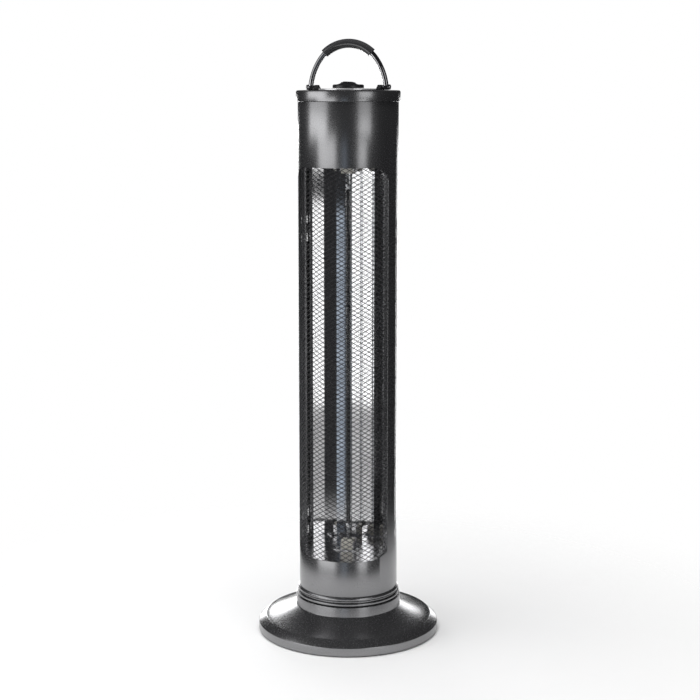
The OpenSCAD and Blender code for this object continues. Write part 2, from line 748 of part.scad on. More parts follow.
module lower_lamp_wire() {
    end = [0, 0.4, lower_deck_top - deck_t - lead_out - wire_r];
    route = [[0, block_back, block_wire_z], [0, block_back + 4, block_wire_z + 1],
        [0, block_back + 10, block_wire_z + 8], end + [0, -2, -6], end];
    color([0.1, 0.1, 0.1]) tube_along(curve(route), wire_r);
}

// Gland for the mains lead, low at the back of the column
module cable_gland() {
    color([0.07, 0.07, 0.07]) translate([0, tube_r, gland_z]) rotate([-90, 0, 0]) difference() {
        union() {
            translate([0, 0, -5.5]) cylinder(r = gland_r, h = 5.5);
            cylinder(r = gland_r + 2.5, h = 3);
            translate([0, 0, 3]) rotate_extrude() polygon(concat(
                [[0, 0], [gland_r + 1.2, 0]],
                arc([gland_r - 1.8, gland_nose_l - 6], 3, 0, 90),
                [[0, gland_nose_l - 3]]));
        }
        translate([0, 0, -5.5 - over]) cylinder(r = gland_bore_r, h = gland_nose_l + 6 + 2 * over);
    }
}

module gland_nut() {
    nut_r = gland_r + 2.5;
    nut_y = sqrt(pow(tube_ir, 2) - pow(nut_r, 2)) - fit;
    color([0.07, 0.07, 0.07]) translate([0, nut_y, gland_z]) rotate([90, 0, 0]) difference() {
        cylinder(r = nut_r, h = 3, $fn = 6);
        translate([0, 0, -over]) cylinder(r = gland_r, h = 3 + 2 * over);
    }
}

module top_ring() {
    color([0.5, 0.5, 0.5]) difference() {
        translate([0, 0, tube_top - cap_h + 1]) ring(tube_ir, tube_ir - 3, cap_h - 1);
        for (s = [-1, 1]) at_back(s * back_screw_angle, cap_top - cap_h / 2)
            cylinder(r = screw_r, h = 6, $fn = 32);
    }
}

module top_cap() {
    color([0.16, 0.16, 0.165]) difference() {
        translate([0, 0, cap_top - cap_h]) rotate_extrude($fn = 180) polygon(concat(
            [[tube_r + fit, 0], [cap_r - 0.5, 0], [cap_r, 0.5]],
            arc([cap_r - cap_fillet, cap_h - cap_fillet], cap_fillet, 0, 90),
            [[bushing_r + fit, cap_h], [bushing_r + fit, cap_h - cap_wall],
                [tube_r + fit, cap_h - cap_wall]]
        ));
        for (s = [-1, 1]) at_back(s * back_screw_angle, cap_top - cap_h / 2)
            translate([0, 0, -cap_wall - over]) cylinder(r = screw_r, h = cap_wall + 2 * over, $fn = 32);
        for (x = [-lug_x, lug_x], y = [-lug_l / 3, lug_l / 3])
            translate([x, y, tube_top - over]) cylinder(r = screw_r, h = cap_wall + 2 * over, $fn = 32);
    }
}

module cap_screws() {
    color("silver") for (s = [-1, 1]) rotate(s * back_screw_angle)
        translate([0, cap_r, cap_top - cap_h / 2]) rotate([90, 0, 0])
            screw(screw_r, cap_wall + tube_wall + 2.5, screw_head_r, screw_head_h);
}

module dial_plate() {
    color([0.8, 0.8, 0.8]) translate([0, 0, cap_top]) rotate_extrude() polygon([
        [bushing_r + fit, 0], [dial_r, 0], [dial_r, dial_t - 0.8],
        [dial_r - 0.8, dial_t], [bushing_r + fit, dial_t]
    ]);
}

module switch_body() {
    color([0.12, 0.12, 0.12]) translate([0, 0, tube_top]) difference() {
        union() {
            translate([-switch_w / 2, -switch_w / 2, -switch_h]) cube([switch_w, switch_w, switch_h]);
            cylinder(r = bushing_r, h = bushing_h);
        }
        translate([0, 0, shaft_z - tube_top - apart])
            cylinder(r = shaft_d / 2 + run, h = switch_h + bushing_h);
    }
}

module switch_terminals() {
    color([0.8, 0.65, 0.3]) for (x = [-8, 0, 8])
        translate([x - 0.4, -3, tube_top - switch_h - 7]) cube([0.8, 6, 7]);
}

module switch_nut() {
    color("silver") translate([0, 0, dial_top]) difference() {
        cylinder(r = switch_nut_r, h = switch_nut_h, $fn = 6);
        translate([0, 0, -over]) cylinder(r = bushing_r, h = switch_nut_h + 2 * over);
    }
}

module switch_shaft() {
    color("silver") translate([0, 0, shaft_z])
        cylinder(r = shaft_d / 2, h = knob_top - 1.4 - shaft_z);
}

// The knob's bar points to the front, with a foot that flares into the skirt
module knob() {
    skirt_r = knob_d / 2;
    foot_w = knob_bar_w * 2.4;
    bar_l = skirt_r * 0.86;
    color([0.07, 0.07, 0.07]) difference() {
        union() {
            translate([0, 0, knob_z]) rotate_extrude() polygon(concat(
                [[0, 0], [skirt_r - 0.5, 0], [skirt_r, 0.5]],
                arc([skirt_r - 1.8, knob_skirt_h - 1.8], 1.8, 0, 90),
                [[0, knob_skirt_h]]));
            translate([0, bar_l, knob_skirt_top]) rotate([90, 0, 0]) linear_extrude(2 * bar_l)
                polygon([[-foot_w / 2, -0.5], [foot_w / 2, -0.5], [knob_bar_w * 0.7, knob_bar_h * 0.45],
                    [knob_bar_w / 2, knob_bar_h * 0.9], [knob_bar_w / 2 - 0.6, knob_bar_h],
                    [0.6 - knob_bar_w / 2, knob_bar_h], [-knob_bar_w / 2, knob_bar_h * 0.9],
                    [-knob_bar_w * 0.7, knob_bar_h * 0.45]]);
        }
        translate([0, 0, knob_z - over]) cylinder(r = knob_pocket_r, h = knob_pocket_h + over);
        translate([0, 0, knob_z]) cylinder(r = shaft_d / 2, h = knob_top - 1.4 - knob_z);
        translate([0, 0, knob_z - over]) difference() {
            cylinder(r = 2 * skirt_r, h = knob_top);
            translate([0, 0, -over]) cylinder(r = skirt_r, h = knob_top + 2 * over);
        }
    }
}

// Lug for one leg of the bail, its outer face towards +X
module handle_lug() {
    color([0.1, 0.1, 0.1]) difference() {
        translate([lug_x - lug_t / 2, 0, 0]) rotate([90, 0, 90]) linear_extrude(lug_t) polygon(concat(
            [[lug_l / 2, cap_top], [lug_l / 2, cap_top + 2.5]],
            arc([0, lug_top - lug_l / 3], lug_l / 3, 40, 140, 12),
            [[-lug_l / 2, cap_top + 2.5], [-lug_l / 2, cap_top]]
        ));
        translate([lug_x - lug_t / 2 - over, 0, pivot_z]) rotate([0, 90, 0])
            cylinder(r = pivot_r, h = lug_t + 2 * over, $fn = 48);
        for (y = [-lug_l / 3, lug_l / 3]) translate([lug_x, y, cap_top - over])
            cylinder(r = screw_r, h = 2 + over, $fn = 32);
    }
}

module right_handle_lug() {
    handle_lug();
}

module left_handle_lug() {
    mirror([1, 0, 0]) handle_lug();
}

module lug_screws() {
    color("silver") for (x = [-lug_x, lug_x], y = [-lug_l / 3, lug_l / 3])
        translate([x, y, tube_top]) screw(screw_r, cap_wall + 2, screw_head_r, screw_head_h);
}

module pivot_screws() {
    outer = leg_x + eye_r + apart;
    color("silver") for (s = [0, 1]) mirror([s, 0, 0]) translate([0, 0, pivot_z]) rotate([0, 90, 0]) {
        translate([0, 0, lug_x - lug_t / 2])
            cylinder(r = pivot_r, h = outer - lug_x + lug_t / 2, $fn = 48);
        translate([0, 0, outer]) cylinder(r = pivot_head_r, h = pivot_head_h, $fn = 48);
    }
}

// Round bar that follows the bail's centre line: a flat arc on each side and a rounder crown
module bail_bar(r, half_angle) {
    translate([0, 0, bail_centre_z + crown_drop]) rotate([90, 0, 0]) rotate(90 - half_angle)
        rotate_extrude(angle = 2 * half_angle) translate([bail_crown_r, 0]) circle(r = r, $fn = 48);
}

// A crimp on the wire at each end of the crown keeps the sleeve in its place
module bail_wire() {
    color([0.2, 0.2, 0.2]) difference() {
        union() {
            bail_bar(bail_wire_r, 90 - blend_angle);
            for (s = [0, 1]) mirror([s, 0, 0]) {
                translate([0, 0, bail_centre_z + crown_drop]) rotate([0, 90 - blend_angle, 0])
                    translate([-crimp_l / 2, 0, bail_crown_r]) rotate([0, 90, 0])
                        cylinder(r = bail_wire_r + 0.25, h = crimp_l, $fn = 48);
                translate([bail_half - bail_side_r, 0, bail_centre_z]) rotate([90, 0, 0])
                    rotate(leg_angle) rotate_extrude(angle = blend_angle - leg_angle)
                        translate([bail_side_r, 0]) circle(r = bail_wire_r, $fn = 48);
                translate([leg_x - eye_r, 0, pivot_z]) rotate([0, 90, 0])
                    cylinder(r = eye_r, h = 2 * eye_r, $fn = 48);
            }
        }
        translate([-leg_x - 2 * eye_r, 0, pivot_z]) rotate([0, 90, 0])
            cylinder(r = pivot_r + run, h = 2 * leg_x + 4 * eye_r, $fn = 48);
    }
}

module handle_grip() {
    reach = min(grip_angle, 90 - blend_angle - 3);
    color([0.1, 0.1, 0.1]) difference() {
        bail_bar(grip_r, reach);
        bail_bar(bail_wire_r, reach + 2);
    }
}

base_cover();
base_plate();
base_weight();
rubber_feet();
tie_bolts();
tie_nuts();
tip_switch_body();
tip_switch_plunger();
tip_switch_spring();
tip_switch_screws();
tip_switch_wire();
spacer_ring();
column_foot();
housing_tube();
column_screws();
mesh_grille();
lower_deck();
upper_deck();
deck_grommets();
reflector();
quartz_tube();
carbon_element();
lower_end_cap();
upper_end_cap();
lower_lamp_bracket();
upper_lamp_bracket();
bracket_screws();
lead_bushes();
thermal_cutout();
cutout_screws();
terminal_block();
terminal_screws();
live_wire();
neutral_wire();
switch_wire();
lower_lamp_wire();
cable_gland();
gland_nut();
top_ring();
top_cap();
cap_screws();
dial_plate();
switch_body();
switch_terminals();
switch_nut();
switch_shaft();
knob();
left_handle_lug();
right_handle_lug();
lug_screws();
pivot_screws();
bail_wire();
handle_grip();
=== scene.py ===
# %% [markdown]
# # A tower heater for a terrace
#
# The real thing is a weighted disc, a steel tube with a window, a mirror and one long lamp behind
# a grille, and a cap with a switch and a folding handle. Its exact frame was drawn in CAD, and
# here each visible shell gets the roundings, the fine mesh and the finishes that a frame leaves
# out. Every position is read back from the frame, so nothing has to be fitted by eye.

# %% Load the frame
import math

import bmesh
import bpy
from mathutils import Matrix, Vector
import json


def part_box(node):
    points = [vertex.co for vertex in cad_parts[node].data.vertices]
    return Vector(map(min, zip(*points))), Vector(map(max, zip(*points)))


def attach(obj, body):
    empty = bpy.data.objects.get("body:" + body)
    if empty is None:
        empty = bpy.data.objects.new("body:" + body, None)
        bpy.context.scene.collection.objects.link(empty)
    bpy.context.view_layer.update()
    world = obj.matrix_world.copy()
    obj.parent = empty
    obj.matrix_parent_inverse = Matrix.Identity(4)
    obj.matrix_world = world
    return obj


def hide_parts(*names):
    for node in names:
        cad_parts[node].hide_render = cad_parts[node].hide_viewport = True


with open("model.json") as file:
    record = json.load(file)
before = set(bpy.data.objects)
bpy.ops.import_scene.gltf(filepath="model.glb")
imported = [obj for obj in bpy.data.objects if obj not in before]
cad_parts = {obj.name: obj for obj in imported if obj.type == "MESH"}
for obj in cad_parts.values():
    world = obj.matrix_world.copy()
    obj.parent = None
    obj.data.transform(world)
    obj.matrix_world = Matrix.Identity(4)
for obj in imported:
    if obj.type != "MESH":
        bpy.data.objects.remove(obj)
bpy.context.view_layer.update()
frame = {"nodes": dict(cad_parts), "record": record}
MM = 0.001


# %% Measures of a node, in millimetres
def low(node, axis="z"):
    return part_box(node)[0]["xyz".index(axis)] / MM


def high(node, axis="z"):
    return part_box(node)[1]["xyz".index(axis)] / MM


tube_r = high("housing_tube", "x")
base_r = high("base_cover", "x")
cap_r = high("top_cap", "x")
print(f"tube {2 * tube_r:.1f} mm, base {2 * base_r:.1f} mm, cap {2 * cap_r:.1f} mm across")

# %% [markdown]
# ## Camera
#
# A tall, thin object is best seen from about its own top, from a little to one side, with a long
# lens so that its sides stay nearly upright. The camera looks down slightly, which keeps the lens
# shift small.

# %% Camera
VIEW_SIDE = math.radians(17)
EYE_HEIGHT, EYE_DISTANCE, EYE_PITCH = 0.640, 1.795, math.radians(8.25)
SENSOR_MM, LENS_MM = 36, 77.6
SHIFT_ACROSS, SHIFT_UP = 0.0025, -0.04
toward_eye = Vector((math.sin(VIEW_SIDE), -math.cos(VIEW_SIDE), 0))
to_the_right = Vector((math.cos(VIEW_SIDE), math.sin(VIEW_SIDE), 0))

camera = bpy.data.objects.new("camera", bpy.data.cameras.new("camera"))
bpy.context.scene.collection.objects.link(camera)
camera.location = toward_eye * EYE_DISTANCE + Vector((0, 0, EYE_HEIGHT))
look = -toward_eye * math.cos(EYE_PITCH) - Vector((0, 0, math.sin(EYE_PITCH)))
camera.rotation_euler = look.to_track_quat("-Z", "Y").to_euler()
camera.data.sensor_width, camera.data.lens = SENSOR_MM, LENS_MM
camera.data.shift_x, camera.data.shift_y = SHIFT_ACROSS, SHIFT_UP
camera.data.clip_end = 50
bpy.context.scene.camera = camera
print("camera stands", round(camera.location.length, 3), "m from the origin")

# %% [markdown]
# ## Light
#
# Satin metal shows its shape by what it mirrors. A broad soft box at the left and a narrower one
# at the right front draw two pale bands down the column with dark between them, as a studio does.
# Each is split by height, because the metal above the window, the mirror behind it and the base
# look at different heights of the room. Two strips behind give the column its thin bright edges.
# A large light overhead only brightens the floor, so it is kept out of the reflections.


# %% Soft boxes
def soft_box(name, angle, distance, width, bottom, top, radiance, mirrored=True, tone=(1, 1, 1)):
    """A tall area light at an angle from the camera's direction, positive to the right."""
    light = bpy.data.lights.new(name, "AREA")
    light.shape = "RECTANGLE"
    light.size, light.size_y = width, top - bottom
    light.energy = radiance * math.pi * width * (top - bottom)
    light.color = tone
    lamp = bpy.data.objects.new(name, light)
    bpy.context.scene.collection.objects.link(lamp)
    turn = math.radians(angle)
    out = math.cos(turn) * toward_eye + math.sin(turn) * to_the_right
    lamp.location = out * distance + Vector((0, 0, (bottom + top) / 2))
    lamp.rotation_euler = (-out).to_track_quat("-Z", "Y").to_euler()
    lamp.visible_camera = False
    lamp.visible_glossy = mirrored
    return lamp


soft_box("left_box", -73, 1.3, 1.2, 0.5, 0.78, 2.5)
soft_box("left_high_box", -73, 1.3, 1.2, 0.78, 1.5, 1.1)
soft_box("left_low_box", -50, 1.3, 1.05, 0.0, 0.5, 1.9)
soft_box("left_floor_glow", -50, 1.3, 1.05, -0.7, 0.0, 0.7)
soft_box("front_low_box", -9, 1.3, 0.22, -0.25, 0.42, 0.5, tone=(0.8, 0.93, 1.1))
soft_box("right_box", 37, 1.9, 1.0, 0.48, 0.8, 2.1)
soft_box("right_high_box", 37, 1.9, 1.0, 0.8, 1.6, 0.9)
soft_box("right_low_box", 32, 1.3, 0.45, 0.0, 0.44, 1.7)
soft_box("right_floor_glow", 32, 1.3, 0.45, -0.7, 0.0, 0.6)
soft_box("left_edge_strip", -160, 1.6, 0.4, -0.4, 0.62, 8)
soft_box("right_edge_strip", 158, 1.6, 0.25, -0.4, 0.62, 5)

overhead = bpy.data.objects.new("overhead", bpy.data.lights.new("overhead", "AREA"))
bpy.context.scene.collection.objects.link(overhead)
overhead.data.size = 2.2
overhead.data.energy = 62
overhead.location = toward_eye * 0.1 - to_the_right * 0.2 + Vector((0, 0, 2.2))
overhead.rotation_euler = (-overhead.location).to_track_quat("-Z", "Y").to_euler()
overhead.visible_camera = overhead.visible_glossy = False

# %% World: white backdrop for the eye, a dim room for the light
world = bpy.data.worlds.new("studio")
bpy.context.scene.world = world
world.use_nodes = True
wn, wl = world.node_tree.nodes, world.node_tree.links
wn.clear()
path, mix = wn.new("ShaderNodeLightPath"), wn.new("ShaderNodeMixShader")
out = wn.new("ShaderNodeOutputWorld")
room, paper = wn.new("ShaderNodeBackground"), wn.new("ShaderNodeBackground")
room.inputs["Color"].default_value = (0.028, 0.028, 0.03, 1)
paper.inputs["Color"].default_value = (1, 1, 1, 1)
wl.new(path.outputs["Is Camera Ray"], mix.inputs["Fac"])
wl.new(room.outputs[0], mix.inputs[1])
wl.new(paper.outputs[0], mix.inputs[2])
wl.new(mix.outputs[0], out.inputs["Surface"])
bpy.context.scene.view_settings.view_transform = "Standard"
bpy.context.scene.view_settings.look = "None"
print("view transform:", bpy.context.scene.view_settings.view_transform)

# %% [markdown]
# ## Finishes
#
# A finish is a shader with small-scale unevenness: paint has a fine grain and a faint orange peel,
# plating has cloudy roughness, moulded plastic has a fine texture. One helper gives each material
# its own grain, cloudiness and bump from noise on Object coordinates, which stay with the piece.


# %% A finish with grain, clouds and bump
def finish(name, colour, rough, metal=0.0, clouds=0.15, grain_mm=0.3, bump_mm=0.01,
           rough_swing=0.06, stretch=(1, 1, 1), **sockets):
    material = bpy.data.materials.new(name)
    material.use_nodes = True
    nodes, links = material.node_tree.nodes, material.node_tree.links
    shader = nodes["Principled BSDF"]
    place = nodes.new("ShaderNodeTexCoord")
    mapping = nodes.new("ShaderNodeMapping")
    mapping.inputs["Scale"].default_value = stretch
    links.new(place.outputs["Object"], mapping.inputs["Vector"])
    grain, cloud = nodes.new("ShaderNodeTexNoise"), nodes.new("ShaderNodeTexNoise")
    grain.name, cloud.name = "grain", "cloud"
    grain.inputs["Scale"].default_value = 1 / (grain_mm * MM * 4)
    grain.inputs["Detail"].default_value = 3
    cloud.inputs["Scale"].default_value = 28
    cloud.inputs["Detail"].default_value = 4
    for noise in (grain, cloud):
        links.new(mapping.outputs["Vector"], noise.inputs["Vector"])
    tint = nodes.new("ShaderNodeMix")
    tint.data_type = "RGBA"
    tint.name = "tint"
    tint.inputs["A"].default_value = (*[c * (1 - clouds) for c in colour], 1)
    tint.inputs["B"].default_value = (*[min(c * (1 + clouds), 1) for c in colour], 1)
    links.new(cloud.outputs["Fac"], tint.inputs["Factor"])
    links.new(tint.outputs["Result"], shader.inputs["Base Color"])
    dull = nodes.new("ShaderNodeMapRange")
    dull.inputs["To Min"].default_value = rough - rough_swing
    dull.inputs["To Max"].default_value = rough + rough_swing
    links.new(grain.outputs["Fac"], dull.inputs["Value"])
    links.new(dull.outputs["Result"], shader.inputs["Roughness"])
    bump = nodes.new("ShaderNodeBump")
    bump.inputs["Distance"].default_value = bump_mm * MM
    bump.inputs["Strength"].default_value = 0.6
    links.new(grain.outputs["Fac"], bump.inputs["Height"])
    links.new(bump.outputs["Normal"], shader.inputs["Normal"])
    shader.inputs["Metallic"].default_value = metal
    for socket, value in sockets.items():
        shader.inputs[socket.replace("_", " ")].default_value = value
    return material


FINISHES = {
    "shell_paint": finish("gunmetal_paint", (0.27, 0.27, 0.276), 0.26, 0.92, clouds=0.03,
                          grain_mm=0.25, bump_mm=0.006, rough_swing=0.05),
    "mesh_steel": finish("grille_paint", (0.1, 0.1, 0.104), 0.38, 0.85, clouds=0.2, grain_mm=0.2),
    "plated_steel": finish("zinc_plating", (0.62, 0.62, 0.63), 0.28, 1.0, clouds=0.18),
    "cast_ballast": finish("raw_casting", (0.1, 0.1, 0.105), 0.75, 0.6, clouds=0.35, grain_mm=0.8,
                           bump_mm=0.15),
    "black_rubber": finish("rubber", (0.025, 0.025, 0.025), 0.8, clouds=0.3, grain_mm=0.4,
                           bump_mm=0.03),
    "ivory_plastic": finish("ivory_moulding", (0.72, 0.69, 0.58), 0.42, clouds=0.06),
    "red_plastic": finish("red_moulding", (0.5, 0.02, 0.015), 0.3, clouds=0.1),
    "black_wire": finish("black_sleeve", (0.03, 0.03, 0.03), 0.5, clouds=0.2),
    "brown_wire": finish("brown_sleeve", (0.16, 0.065, 0.025), 0.5, clouds=0.2),
    "blue_wire": finish("blue_sleeve", (0.03, 0.1, 0.32), 0.5, clouds=0.2),
    "ceramic": finish("ceramic", (0.82, 0.79, 0.72), 0.6, clouds=0.08, grain_mm=0.4, bump_mm=0.03),
    "switch_plastic": finish("switch_moulding", (0.035, 0.035, 0.035), 0.45, clouds=0.2),
    "brass": finish("brass", (0.75, 0.55, 0.22), 0.25, 1.0, clouds=0.15),
    "knob_plastic": finish("knob_plastic", (0.012, 0.012, 0.013), 0.36, clouds=0.2, grain_mm=0.15),
    "lug_metal": finish("black_lug_paint", (0.02, 0.02, 0.021), 0.35, clouds=0.2),
    "dark_chrome": finish("dark_chrome", (0.36, 0.36, 0.37), 0.12, 1.0, clouds=0.05, grain_mm=0.4,
                          bump_mm=0.002, rough_swing=0.03),
    "grip_plastic": finish("grip_sleeve", (0.05, 0.05, 0.052), 0.2, 0.3, clouds=0.15, grain_mm=0.5,
                           bump_mm=0.01, Coat_Weight=0.6, Coat_Roughness=0.08),
    "quartz": finish("quartz_glass", (0.95, 0.96, 0.97), 0.03, clouds=0.01, grain_mm=2,
                     bump_mm=0.001, rough_swing=0.01, Transmission_Weight=1.0, IOR=1.46),
    "deck_steel": finish("bright_sheet", (0.72, 0.72, 0.73), 0.24, 1.0, clouds=0.14, grain_mm=1.2,
                         bump_mm=0.01, stretch=(1, 8, 1)),
    "mirror_sheet": finish("polished_reflector", (0.86, 0.86, 0.87), 0.07, 1.0, clouds=0.04,
                           grain_mm=6, bump_mm=0.03, rough_swing=0.03, stretch=(3, 3, 0.2)),
    "dial_metal": finish("brushed_dial", (0.86, 0.86, 0.87), 0.3, 0.6, clouds=0.05),
    "carbon": finish("woven_carbon", (0.035, 0.035, 0.037), 0.5, 0.2, clouds=0.3),
}
print(len(FINISHES), "finishes")


# %% Brushing in rings on the dial, and the weave of the carbon ribbon
def rings(material, rings_per_m, depth_mm):
    """Fine turned lines about the piece's own upright axis."""
    nodes, links = material.node_tree.nodes, material.node_tree.links
    place = nodes["Mapping"]
    wave = nodes.new("ShaderNodeTexWave")
    wave.wave_type, wave.rings_direction = "RINGS", "Z"
    wave.inputs["Scale"].default_value = rings_per_m
    wave.inputs["Distortion"].default_value = 1.5
    links.new(place.outputs["Vector"], wave.inputs["Vector"])
    bump = nodes["Bump"]
    bump.inputs["Distance"].default_value = depth_mm * MM
    links.new(wave.outputs["Fac"], bump.inputs["Height"])


def weave(material, pitch_mm, depth_mm):
    """Small squares in a chequer, one thread over and one under."""
    nodes, links = material.node_tree.nodes, material.node_tree.links
    chequer = nodes.new("ShaderNodeTexChecker")
    chequer.inputs["Scale"].default_value = 1 / (pitch_mm * MM)
    links.new(nodes["Mapping"].outputs["Vector"], chequer.inputs["Vector"])
    bump = nodes["Bump"]
    bump.inputs["Distance"].default_value = depth_mm * MM
    links.new(chequer.outputs["Fac"], bump.inputs["Height"])


rings(FINISHES["dial_metal"], 300, 0.02)
weave(FINISHES["carbon"], 0.7, 0.15)
print("dial and ribbon patterned")

# %% [markdown]
# ## Shop tools
#
# Three small tools make most pieces. `spun` turns an outline about the upright axis as a lathe or
# a press tool does. `soften` rounds the sharp edges, because no real edge is a knife. `make`
# turns the result into a piece with its finish, riding on its body and standing for CAD nodes.


# %% Turned shapes
def spun(outline, closed=True, steps=192):
    """An outline of (radius, height) points in millimetres, turned about Z."""
    bm = bmesh.new()
    points = [bm.verts.new((r * MM, 0, z * MM)) for r, z in outline]
    pairs = zip(points, points[1:] + points[:1]) if closed else zip(points, points[1:])
    edges = [bm.edges.new(pair) for pair in pairs]
    bmesh.ops.spin(bm, geom=points + edges, cent=(0, 0, 0), axis=(0, 0, 1),
                   angle=math.tau, steps=steps, use_merge=True)
    bmesh.ops.remove_doubles(bm, verts=bm.verts[:], dist=1e-6)
    bmesh.ops.recalc_face_normals(bm, faces=bm.faces[:])
    return bm


def arc(centre, radius, start, end, steps=8):
    """Points on an arc, with angles in degrees."""
    turns = [math.radians(start + (end - start) * i / steps) for i in range(steps + 1)]
    return [(centre[0] + radius * math.cos(t), centre[1] + radius * math.sin(t)) for t in turns]


def soften(bm, width_mm, segments=3, least=40, where=lambda middle: True):
    """Rounds the edges that are sharper than an angle."""
    sharp = [e for e in bm.edges if len(e.link_faces) == 2
             and e.calc_face_angle(0) > math.radians(least)
             and where((e.verts[0].co + e.verts[1].co) / 2)]
    bmesh.ops.bevel(bm, geom=sharp, offset=width_mm * MM, offset_type="OFFSET", segments=segments,
                    profile=0.5, affect="EDGES", clamp_overlap=True, material=-1)


def make(name, bm, body, slot, *stands_for, smooth=35):
    bmesh.ops.recalc_face_normals(bm, faces=bm.faces[:])
    gaps = sum(len(e.link_faces) != 2 for e in bm.edges)
    mesh = bpy.data.meshes.new(name)
    bm.to_mesh(mesh)
    bm.free()
    mesh.shade_smooth()
    mesh.set_sharp_from_angle(angle=math.radians(smooth))
    mesh.materials.append(FINISHES[slot])
    piece = bpy.data.objects.new(name, mesh)
    bpy.context.scene.collection.objects.link(piece)
    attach(piece, body)
    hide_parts(*stands_for)
    size = [round(piece.dimensions[i] / MM, 1) for i in range(3)]
    faces = sum(len(p.vertices) - 2 for p in mesh.polygons)
    print(f"{name}: {size} mm, {faces} triangles, {gaps} open edges")
    return piece


# %% Straight shapes
def block(corner, opposite, width_mm=0.5, segments=3):
    """A box between two corners in millimetres, with its edges rounded."""
    bm = bmesh.new()
    a, b = Vector(corner) * MM, Vector(opposite) * MM
    size = b - a
    bmesh.ops.create_cube(bm, size=1, matrix=Matrix.Translation((a + b) / 2)
                          @ Matrix.Diagonal((*size, 1)))
    soften(bm, width_mm, segments)
    return bm


def extruded(outline, depth_mm, width_mm=0.4, segments=3, least=40):
    """A flat outline in X and Y, raised along Z from zero, with its edges rounded."""
    bm = bmesh.new()
    face = bm.faces.new([bm.verts.new((x * MM, y * MM, 0)) for x, y in outline])
    raised = bmesh.ops.extrude_face_region(bm, geom=[face], use_keep_orig=True)
    bmesh.ops.translate(bm, vec=(0, 0, depth_mm * MM),
                        verts=[v for v in raised["geom"] if isinstance(v, bmesh.types.BMVert)])
    bmesh.ops.recalc_face_normals(bm, faces=bm.faces[:])
    soften(bm, width_mm, segments, least)
    return bm


def move(bm, *steps):
    """Applies matrices in turn to a whole bmesh."""
    for step in steps:
        bmesh.ops.transform(bm, matrix=step, verts=bm.verts[:])
    return bm


def turn(degrees, axis):
    return Matrix.Rotation(math.radians(degrees), 4, axis)


def shift(x=0, y=0, z=0):
    return Matrix.Translation(Vector((x, y, z)) * MM)


def joined(*parts):
    """Several bmeshes as one, for a piece that is welded or moulded in one."""
    whole = bmesh.new()
    for part in parts:
        mesh = bpy.data.meshes.new("part")
        part.to_mesh(mesh)
        part.free()
        whole.from_mesh(mesh)
        bpy.data.meshes.remove(mesh)
    return whole


def pan_screw(head_r, head_h, shank_r, shank_l):
    """A pan-head screw that points down, the top of its head at zero, with a cross recess."""
    flat = head_r * 0.62
    bm = spun([(flat, 0)] + arc((flat, -head_h * 0.7), head_h * 0.7, 75, 12, 4)
              + [(head_r, -head_h * 0.75), (head_r, -head_h), (shank_r, -head_h),
                 (shank_r, -head_h - shank_l), (0, -head_h - shank_l)], closed=False, steps=24)
    rim = [e for e in bm.edges if len(e.link_faces) == 1]
    slim, wide = head_r * 0.11, head_r * 0.42
    cross = bm.faces.new([bm.verts.new((x * MM, y * MM, 0)) for x, y in (
        (slim, slim), (slim, wide), (-slim, wide), (-slim, slim), (-wide, slim), (-wide, -slim),
        (-slim, -slim), (-slim, -wide), (slim, -wide), (slim, -slim), (wide, -slim), (wide, slim))])
    bmesh.ops.bridge_loops(bm, edges=rim + cross.edges[:])
    sunk = bmesh.ops.extrude_discrete_faces(bm, faces=[cross])["faces"][0]
    bmesh.ops.scale(bm, vec=(0.75, 0.75, 1), verts=sunk.verts[:])
    bmesh.ops.translate(bm, vec=(0, 0, -head_h * 0.6 * MM), verts=sunk.verts[:])
    return bm


print("shop tools ready")

# %% [markdown]
# ## Base
#
# The base cover is one deep-drawn pressing: a low rim, a chamfer, a crown that sweeps up ever
# steeper, and a collar. A press makes it from a disc, so turning one outline of constant wall is
# the honest way. The outline's curve is a formula, so it stays smooth at any number of steps.

# %% Base cover
rim_top, chamfer_top = 11, 18.5
collar_top, crown_top = high("base_cover"), high("base_cover") - 12
crown_r, collar_r, wall = base_r - 9, tube_r + 4, 1.5
hub_r = 12


def crown(drop, start, end, steps=24):
    """The crown's curve between two radii, lowered by the wall for its underside."""
    out = []
    for i in range(steps + 1):
        r = start + (end - start) * i / steps
        run = (crown_r - min(max(r, collar_r), crown_r)) / (crown_r - collar_r)
        out.append((r, chamfer_top + (crown_top - chamfer_top) * run ** 1.5 - drop))
    return out


cover = spun([(base_r - wall, 1.2), (base_r, 1.2), (base_r, rim_top)]
             + crown(0, crown_r, collar_r)
             + [(collar_r, collar_top), (hub_r, collar_top), (hub_r, collar_top - wall),
                (collar_r - wall, collar_top - wall)]
             + crown(wall, collar_r - wall, crown_r - wall / 2)
             + [(base_r - wall, rim_top - wall / 2)], steps=256)
soften(cover, 0.5, 3, least=25)
make("base_shell", cover, "heater", "shell_paint", "base_cover")

# %% Ring and groove between base and column
core_r, ring_r = tube_r - 1.5, high("spacer_ring", "x")
z0, z1 = low("spacer_ring"), high("spacer_ring")
groove = 1.25
ring = spun([(hub_r, z0), (core_r, z0), (core_r, z0 + groove), (ring_r, z0 + groove),
             (ring_r, z1 - groove), (core_r, z1 - groove), (core_r, z1), (hub_r, z1)])
soften(ring, 0.8, 4, where=lambda p: Vector((p.x, p.y)).length > (ring_r - 0.3) * MM)
make("shadow_ring", ring, "heater", "shell_paint", "spacer_ring")

# %% Foot of the column, with its rolled lip
lip_r, foot_z = high("column_foot", "x"), low("column_foot")
bead, tube_z = 3.25, low("housing_tube")
inner = tube_r - 1 - 0.1
foot = spun([(hub_r, foot_z), (lip_r - 1.2, foot_z)]
            + arc((lip_r - bead, foot_z + bead), bead, -50, 50)
            + [(tube_r + 0.1, foot_z + 2 * bead), (tube_r + 0.1, tube_z), (inner, tube_z),
               (inner, tube_z + 10), (inner - 2, tube_z + 10), (inner - 2, tube_z),
               (hub_r, tube_z)])
make("foot_lip", foot, "heater", "shell_paint", "column_foot")

